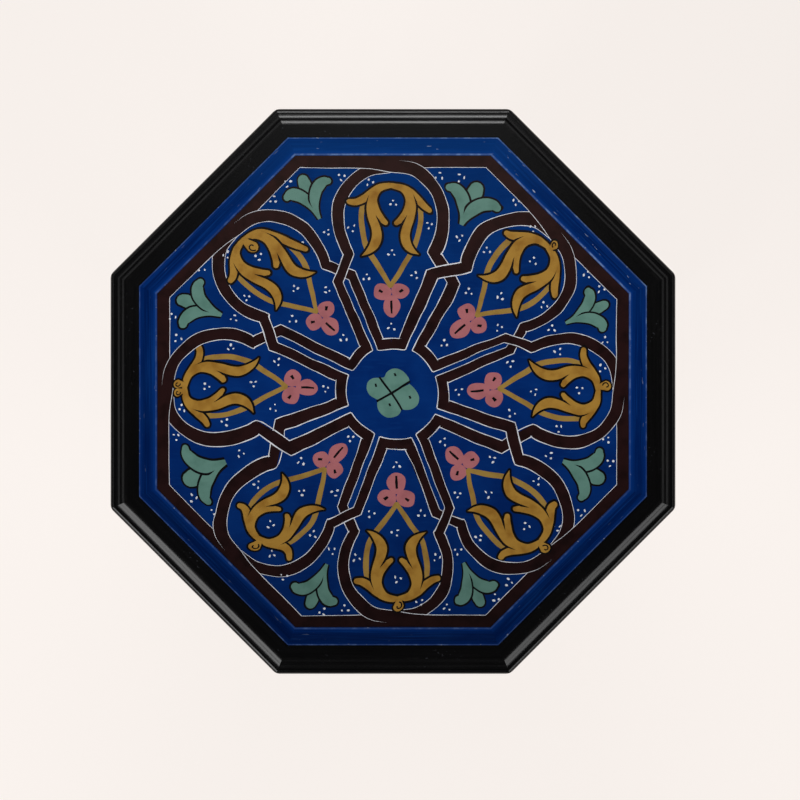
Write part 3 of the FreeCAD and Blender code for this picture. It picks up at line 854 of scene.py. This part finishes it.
STEM = [
    (18.2, 136.0, 1.7), (20.4, 127.0, 1.85), (20.0, 114.5, 1.9), (16.4, 102.4, 1.9), (9.0, 90.4, 1.8),
    (0.2, 75.6, 1.5),
]
ARM = [
    (-2.4, 145.6, 1.9), (7.0, 144.5, 2.2), (13.2, 140.7, 2.7), (18.8, 136.2, 2.7), (24.2, 133.0, 2.4),
    (28.6, 132.2, 1.9),
]
LEAF = [
    (12.8, 141.0, 2.0), (14.8, 131.6, 2.4), (13.4, 123.0, 2.7), (10.4, 115.0, 3.2), (9.6, 109.0, 3.4),
    (11.6, 103.6, 2.9), (15.2, 99.6, 1.7), (19.6, 96.8, 0.0),
]
FINGER = [
    (0.5, 145.6, 1.9), (8.2, 142.7, 2.0), (12.0, 135.6, 2.0), (10.9, 128.2, 2.2), (7.4, 122.2, 2.3),
    (3.6, 118.8, 1.6),
]
ARM_TIPS = [
    ((0.0, 2.0), (-1.5, -5.0)), ((-4.0, -0.6), (-1.0, -5.6)), ((0.0, 3.7), (-4.0, 1.4)),
    ((-3.4, 1.7), (-3.0, 3.2)), ((0.0, -0.9), (-1.7, 0.5)), ((-2.0, 9.0), (-3.0, 4.5)),
    ((-2.0, -3.7), (1.0, 6.2)), ((-2.0, -0.4), (-2.6, -19.5)),
]
TIP_SHARES = (0.0, 0.0, 0.0, 0.2, 0.6, 1.0)
OUTLINE = 1.5
LEVEL = 0.012
HAIR = 0.001
STEM_TOP = 0.06
ARM_TOP = 0.12
LEAF_TOP = 0.156
FINGER_STARTS = (0.5, FROM_ROOT)
LEAF_STARTS = (0.05, 0.27)


def arms(extra):
    """The outlines of all arms, each with its tip where this petal has it."""
    outlines = []
    for petal, tips in enumerate(ARM_TIPS):
        for tip, way in zip(tips, (-1, 1)):
            arm = [
                (way * (x + tip[0] * share), y + tip[1] * share, half)
                for (x, y, half), share in zip(ARM, TIP_SHARES)
            ]
            outlines.append(on_petal(petal, pressed_stroke(arm, extra)))
    return outlines


def mirrored_pair(stroke, extra, starts):
    return [pressed_stroke(stroke, extra, starts), pressed_stroke(mirrored(stroke), extra, starts[::-1])]


stems = [pressed_stroke(stroke) for stroke in (STEM, mirrored(STEM))]
lay_film("ochre_stems", stems, "dull_ochre", STEM_TOP, 2 * LEVEL, Rise=1.0)
for part, colour, extra, lower in (("fills", "ochre", 0.0, 0.0), ("outlines", "black", OUTLINE, LEVEL)):
    lay_film(f"arabesque_arms_{part}", arms(extra), colour, ARM_TOP - lower, HAIR, Rise=1.0, Copies=1)
    leaves = mirrored_pair(FINGER, extra, FINGER_STARTS) + mirrored_pair(LEAF, extra, LEAF_STARTS)
    lay_film(f"arabesque_leaves_{part}", leaves, colour, LEAF_TOP - lower, 2 * LEVEL, Rise=1.0)

# %% [markdown]
# Each petal ends in a pink trefoil at the foot of the stems, which end on top of it. Its
# lobes are round dabs with a touch of black in each.

# %% Pink trefoils
DAB_POINTS = 28
TREFOIL_TOP = 0.03
TREFOIL_TOUCH = 0.05
TOUCH_FLATNESS = 0.1


def dab(middle, width, length, wave=0.06):
    """A round dab of paint that isn't quite round."""
    return [
        Vector((
            middle[0] + width * math.cos(a) * (1 + wave * math.cos(3 * a + middle[0])),
            middle[1] + length * math.sin(a) * (1 + wave * math.sin(2 * a + middle[1])),
        ))
        for a in (2 * math.pi * k / DAB_POINTS for k in range(DAB_POINTS))
    ]


lobes = [dab((-6.0, 71.6), 6.1, 6.1), dab((6.1, 71.7), 6.0, 6.0), dab((0.3, 61.0), 5.9, 7.5)]
lay_film("pink_trefoils", lobes, "pink", TREFOIL_TOP, STEP, Rise=1.0)
touches = [
    [(-8.1, 73.0, 1.0), (-5.7, 71.4, 0.7)], [(5.7, 71.0, 0.8), (8.1, 72.8, 1.0)],
    [(0.4, 55.8, 0.6), (0.3, 60.5, 0.9), (0.0, 65.0, 0.7)],
]
lay_lines("trefoil_touches", touches, "black", TREFOIL_TOUCH, TOUCH_FLATNESS, swell=0.6, Rise=1.0)

# %% [markdown]
# Most arabesques end in a curled bud, and each came out differently: one petal has none,
# one has two, and in one it hangs in the opening. So they are placed one by one, by
# petal, clockwise from the far side. A bud is a short stroke that grows from the bar
# into a knob, with a curl drawn on it.

# %% Curled buds
BAR = 145.6
BUD_TOP = 0.32
BUD_EDGE_TOP = 0.3
BUD_OUTLINE = OUTLINE * 0.8
CURL_HALF = 0.5
CURL_POINTS = 10
BUD_STARTS = (0.25, 0.25)
BUDS = [
    (1, 3.4, 149.8, 2.6), (2, -3.0, 151.6, 3.4), (3, 1.0, 151.2, 3.4), (4, -1.0, 150.2, 3.6),
    (5, -4.2, 151.6, 3.7), (6, -3.0, 150.6, 2.9), (6, 3.0, 151.0, 2.9), (7, 2.2, 138.0, 3.8),
]
bud_films, bud_outlines, bud_curls = [], [], []
for petal, across, out, radius in BUDS:
    root = (across * 0.7, BAR, radius * 0.5)
    neck = (across * 0.85, (BAR + out) / 2, radius * 0.72)
    knob = (across, out, radius)
    for shapes, extra in ((bud_films, 0.0), (bud_outlines, BUD_OUTLINE)):
        shapes.append(on_petal(petal, pressed_stroke([root, neck, knob], extra, BUD_STARTS)))
    curl = []
    for k in range(CURL_POINTS):
        angle = math.pi * (1.5 - 0.17 * k)
        arm = Vector((math.cos(angle), math.sin(angle))) * radius * (0.8 - 0.06 * k)
        curl.append(Vector((across, out)) + arm)
    bud_curls.append([(*point, CURL_HALF) for point in on_petal(petal, curl)])
lay_film("arabesque_buds", bud_films, "ochre", BUD_TOP, HAIR, Rise=1.0, Copies=1)
lay_film("bud_outlines", bud_outlines, "black", BUD_EDGE_TOP, HAIR, Rise=1.0, Copies=1)
lay_lines("bud_curls", bud_curls, "black", BUD_TOP, TOUCH_FLATNESS, swell=0.4, Rise=1.0, Copies=1)

# %% [markdown]
# A green palmette fills each corner of the octagon. It is three pressed strokes from
# one stem, with the same black outline as the ochre leaves.

# %% Green palmettes
PALMETTE_TOP = 0.08
PALMETTE_OUTLINE = 1.35
MIDDLE_LOBE = [(0.4, 146.0, 1.6), (0.3, 151.4, 3.4), (-0.1, 156.0, 4.7), (-0.3, 159.2, 4.3)]
SIDE_LOBE = [
    (0.5, 130.0, 0.7), (0.8, 137.0, 2.2), (2.6, 143.6, 3.7), (6.0, 149.2, 4.2), (10.2, 152.4, 4.2),
    (13.8, 153.4, 3.6), (16.4, 152.8, 2.6),
]
SIDE_STARTS = (0.2, FROM_ROOT)
palmette = [MIDDLE_LOBE, mirrored(SIDE_LOBE), SIDE_LOBE]
palmette_films = [pressed_stroke(stroke) for stroke in palmette]
palmette_edges = [pressed_stroke(MIDDLE_LOBE, PALMETTE_OUTLINE)]
palmette_edges += mirrored_pair(SIDE_LOBE, PALMETTE_OUTLINE, SIDE_STARTS)[::-1]
at_corner = {"Turn": -SIDE_ANGLE / 2, "Rise": 1.0}
lay_film("green_palmettes", palmette_films, "green", PALMETTE_TOP, 2 * LEVEL, **at_corner)
lay_film("palmette_outlines", palmette_edges, "black", PALMETTE_TOP - LEVEL, 2 * LEVEL, **at_corner)

# %% [markdown]
# The quatrefoil in the middle stands alone, a little off centre and turned. Four
# lobes meet in a black cross, and each lobe has its dot.

# %% Quatrefoil in the middle
QUATREFOIL_TOP = 0.1
QUATREFOIL_TOUCH = 0.15
CROSS_HALF = 0.75
DOT_HALF = 1.1
MIDDLE = Vector((-1.2, -1.9))
LOBES = [
    [
        (-8.0, 10.9), (-4.6, 11.4), (-2.6, 14.8), (1.3, 17.3), (5.5, 17.3), (9.6, 15.0), (12.6, 11.2),
        (13.2, 8.6),
    ],
    [(-9.4, -4.9), (-12.2, -3.6), (-15.4, -1.4), (-17.3, 2.6), (-16.8, 7.2), (-13.2, 10.2), (-8.3, 10.9)],
    [(6.2, -9.9), (5.8, -12.5), (2.9, -16.0), (-2.9, -17.6), (-8.0, -15.0), (-10.4, -10.6), (-10.2, -6.0)],
    [(13.4, 7.0), (17.2, 3.3), (19.3, -1.6), (18.3, -6.8), (14.6, -10.2), (9.6, -11.0), (7.0, -10.4)],
]
lobes = [[MIDDLE] + [MIDDLE + point for point in flow(lobe, 5)] for lobe in LOBES]
lay_film("green_quatrefoil", lobes, "green", QUATREFOIL_TOP, STEP, Copies=1)
cross = [[(-8.4, 11.4), (0, 0), (6.9, -11.1)], [(-10.6, -5.9), (0, 0), (13.8, 8.8)]]
dots = [
    [(2.5, 13.0), (3.7, 13.5)], [(-11.6, 5.2), (-10.4, 5.6)],
    [(12.4, -2.3), (13.7, -1.8)], [(-2.3, -8.6), (-1.1, -8.1)],
]
touches = [
    [(*(MIDDLE + Vector(point)), half) for point in line]
    for half, lines in ((CROSS_HALF, cross), (DOT_HALF, dots)) for line in lines
]
lay_lines("quatrefoil_touches", touches, "black", QUATREFOIL_TOUCH, TOUCH_FLATNESS, swell=0.5, Copies=1)

# %% [markdown]
# White dots in threes are scattered in the gaps, as in much painted work of this
# kind. A tree sets a turned triangle of dots on every chosen place, and no two dots
# have quite the same size or stretch.

# %% White dots
LOOSE = 0.5 * MM
SMALLEST = (0.6, 0.75, 0.1)
LARGEST = (1.1, 1.45, 0.16)


def dot_tree():
    inputs = own_inputs("Spread", "Dot") + [("Seed", "Int")]
    wire, given, end = new_tree("white_dots", inputs)
    seed = given["Seed"]

    def any_vector(low, high, seed):
        sockets = {0: low, 1: high, "Seed": seed}
        return wire.node("FunctionNodeRandomValue", sockets, data_type="FLOAT_VECTOR")

    places = ring_of(wire, given, given["Geometry"])
    sockets = {2: 0.0, 3: 2 * math.pi, "Seed": seed}
    turn = about(wire, (0, 0, 1), wire.node("FunctionNodeRandomValue", sockets, 1, data_type="FLOAT"))
    sockets = {"Vertices": 3, "Radius": given["Spread"]}
    three = wire.node("GeometryNodeMeshCircle", sockets, fill_type="NONE")
    loose = any_vector((-LOOSE, -LOOSE, 0), (LOOSE, LOOSE, 0), seed + 1)
    sockets = {"Geometry": copies(wire, places, three, turn), "Offset": loose}
    threes = wire.node("GeometryNodeSetPosition", sockets)
    bead = wire.node("GeometryNodeMeshUVSphere", {"Segments": 10, "Rings": 5, "Radius": given["Dot"]})
    size = any_vector(SMALLEST, LARGEST, seed)
    sockets = {"Points": threes, "Instance": bead, "Rotation": turn, "Scale": size}
    return finished(wire, end, wire.node("GeometryNodeInstanceOnPoints", sockets), given, True)


DOTS = dot_tree()
IN_PETAL = [
    (0, 131.5), (26.8, 116), (-26.8, 116), (0.8, 98.6), (16.6, 83.0), (-16.6, 83.0), (0.7, 46.6),
    (-15.2, 147.2),
]
IN_CORNER = [(-26.0, 153.5), (26.0, 153.5), (-12.6, 162.2), (0.8, 119.5)]
scatter = {"Spread": 2.3 * MM, "Dot": 0.88 * MM, "Rise": 1.0}
for name, points, settings in (
    ("petal_dots", IN_PETAL, {"Seed": 3, "Tremor": 5.0 * MM}),
    ("corner_dots", IN_CORNER, {"Seed": 8, "Tremor": 2.5 * MM, **at_corner}),
):
    mesh = bpy.data.meshes.new("places")
    mesh.from_pydata([(x * MM, y * MM, 0.0) for x, y in points], [], [])
    paint(name, link("places", mesh), DOTS, "white", {**scatter, **settings})

# %% [markdown]
# The base is out of sight in the photograph. Such tables are painted all the way down,
# so each board gets a quiet version of the pattern: a strap with two lines round the
# arch, and a palmette between leaves above. The ring group stands the drawing upright
# against the boards without a push, so that the paint stays on the wood.

# %% Painted base
ARCH_MIDDLE = Vector((-19.0, 329.0))
ARCH_REACH = 67.6
STRAP_FOOT = 14.0
LEG_MIDDLE = 46.6
apex_turn = math.acos(-ARCH_MIDDLE.x / ARCH_REACH)
arch_curve = [
    ARCH_MIDDLE + Matrix.Rotation(apex_turn * k / 8, 2) @ Vector((ARCH_REACH, 0)) for k in range(9)
]
leg_curve = flow([(LEG_MIDDLE, 262), (LEG_MIDDLE, 284), (47.6, 308), (48.5, 322)])
half_arch = [Vector((LEG_MIDDLE, STRAP_FOOT))] + leg_curve + arch_curve
whole_arch = half_arch + mirrored(half_arch)[-2::-1]
arch_edges = [beside(whole_arch, [half] * len(whole_arch)) for half in (SPOKE_HALF, -SPOKE_HALF)]
upright = {
    "Stand": math.pi / 2, "Out": BOARD_OUT, "Lift": 0.0, "Drift": 0.0, "Sway": 0.0, "Tremor": 0.0,
}
arch_lines = [[(*point, LINE_HALF * 2) for point in edge] for edge in arch_edges]
base_strap = [arch_edges[0] + arch_edges[1][::-1]]
lay_film("base_straps", base_strap, "maroon", UNDER, 0.0, "base_paint", **upright)
lay_lines("base_lines", arch_lines, "white", UNDER, LINE_FLATNESS, 0.9, "base_paint", 2.5, **upright)

# %% [markdown]
# Above each arch the ornament reuses the brush strokes of the top: the palmette, drawn
# larger, and pairs of ochre leaves that follow the arch down and the rim up. The dots
# are round dabs, since only a few are needed.

# %% Apron ornament
PALMETTE_ROOT = 130.0
APRON_ROOT = 414.0
FAN_GROWTH = 1.3
DOT_PLACES = [(0, 468), (27, 440), (-27, 440), (54, 432), (-54, 432), (55, 392), (-55, 392)]
DOT_SPREAD = 2.2
DOT_TURN = 2.1
RISING_LEAF = [
    (3.0, 411.0, 1.0), (12.0, 412.6, 2.4), (23.0, 417.4, 3.4), (33.6, 426.4, 3.6), (41.6, 438.4, 2.8),
    (44.0, 451.0, 1.4), (41.0, 460.0, 0.0),
]
FALLING_LEAF = [
    (3.0, 408.4, 1.0), (14.0, 407.4, 2.3), (26.0, 401.6, 3.2), (37.6, 391.0, 3.4), (46.4, 376.6, 2.8),
    (51.4, 360.4, 1.6), (55.6, 349.0, 0.0),
]
leaves = [FALLING_LEAF, mirrored(FALLING_LEAF), RISING_LEAF, mirrored(RISING_LEAF)]
fans = [
    [
        (x * FAN_GROWTH, APRON_ROOT + (y - PALMETTE_ROOT) * FAN_GROWTH, half * FAN_GROWTH)
        for x, y, half in stroke
    ]
    for stroke in palmette
]
for name, strokes, colour in (("base_leaves", leaves, "ochre"), ("base_palmettes", fans, "green")):
    for part, extra, pot_name, height in (
        ("fills", 0.0, colour, UNDER), ("outlines", OUTLINE, "black", UNDER - LEVEL),
    ):
        shapes = [pressed_stroke(stroke, extra) for stroke in strokes]
        lay_film(f"{name}_{part}", shapes, pot_name, height, 2 * LEVEL, "base_paint", **upright)
spots = []
for x, z in DOT_PLACES:
    for k in range(3):
        arm = Matrix.Rotation(DOT_TURN * k + x, 2) @ Vector((DOT_SPREAD, 0))
        spots.append(dab(Vector((x, z)) + arm, 0.9, 1.2))
lay_film("base_dots", spots, "white", UNDER, 0.0, "base_paint", **upright)

# %% [markdown]
# A ring of soft boxes lights the table. Two large ones in front, left and right, do most
# of the work, and their reflections run along the near rails. A small one close behind
# lights the far rail and the field. Weak ones round the back and overhead only draw a
# thin line of light on the other rails.

# %% Soft boxes
AIR = {"Color": (0.9, 0.95, 1.0, 1.0), "Strength": 0.02}
SOFT_BOXES = [
    ("far_soft_box", 90, 48, 1.1, (0.5, 0.34), 4.8), ("top_soft_box", 90, 80, 2.6, (0.4, 0.4), 0.3),
    ("left_soft_box", 225, 38, 2.2, (1.15, 1.15), 20), ("right_soft_box", 315, 38, 2.2, (1.15, 1.15), 13),
]
SOFT_BOXES += [(f"side_soft_box_{turn}", turn, 44, 2.2, (0.6, 0.6), 0.9) for turn in (0, 45, 135, 180)]
for name, azimuth, elevation, distance, size, watts in SOFT_BOXES:
    data = bpy.data.lights.new(name, "AREA")
    data.shape = "RECTANGLE"
    data.size, data.size_y = size
    data.energy = watts
    turn, rise = math.radians(azimuth), math.radians(elevation)
    way = Vector((math.cos(rise) * math.cos(turn), math.cos(rise) * math.sin(turn), math.sin(rise)))
    box = link(name, data)
    box.location = Vector((0, 0, RIM_HEIGHT)) + way * distance
    box.rotation_euler = way.to_track_quat("Z", "Y").to_euler()
world = bpy.data.worlds.new("studio_air")
world.use_nodes = True
for socket, value in AIR.items():
    world.node_tree.nodes["Background"].inputs[socket].default_value = value
bpy.context.scene.world = world
print("soft boxes:", len(SOFT_BOXES))

# %% [markdown]
# Seen by the camera, the floor keeps most of its own colour, with the table's shadow
# faint on it. A low round wall far out has the same finish, so that views from the side
# end in cream too.

# %% Floor and wall
FLOOR_GLOW = 1.163
FLOOR_SHARE = 0.7
cream = bpy.data.materials.new("cream_floor")
cream.use_nodes = True
nodes = cream.node_tree.nodes
nodes.remove(nodes["Principled BSDF"])
wire = Wire(cream.node_tree)
colour = paint_colour(252, 245, 240)
lit = wire.node("ShaderNodeBsdfDiffuse", {"Color": colour})
seen = wire.node("ShaderNodeEmission", {"Color": colour, "Strength": FLOOR_GLOW})
ray = wire.node("ShaderNodeLightPath", out="Is Camera Ray")
mirrored_ray = ray.maths("MAXIMUM", ray.other("Is Glossy Ray"), ray.other("Is Transmission Ray"))
shown = ray.maths("MAXIMUM", ray, mirrored_ray) * FLOOR_SHARE
mixed = wire.node("ShaderNodeMixShader", {0: shown, 1: lit, 2: seen})
wire.fill(nodes["Material Output"].inputs["Surface"], mixed)
STUDIO_REACH = 14.0
WALL_HEIGHT = 2.4
WALL_PARTS = 64
parts = range(WALL_PARTS)
around = [2 * math.pi * k / WALL_PARTS for k in parts]
rings = [
    (STUDIO_REACH * math.cos(turn), STUDIO_REACH * math.sin(turn), height)
    for height in (0.0, WALL_HEIGHT) for turn in around
]
wall = [(k, WALL_PARTS + k, WALL_PARTS + (k + 1) % WALL_PARTS, (k + 1) % WALL_PARTS) for k in parts]
for name, faces in (("floor", [tuple(parts)]), ("backdrop", wall)):
    mesh = bpy.data.meshes.new(name)
    mesh.from_pydata(rings, [], faces)
    mesh.materials.append(cream)
    link(name, mesh)
bpy.context.scene.view_settings.view_transform = "Standard"
print("studio ready")
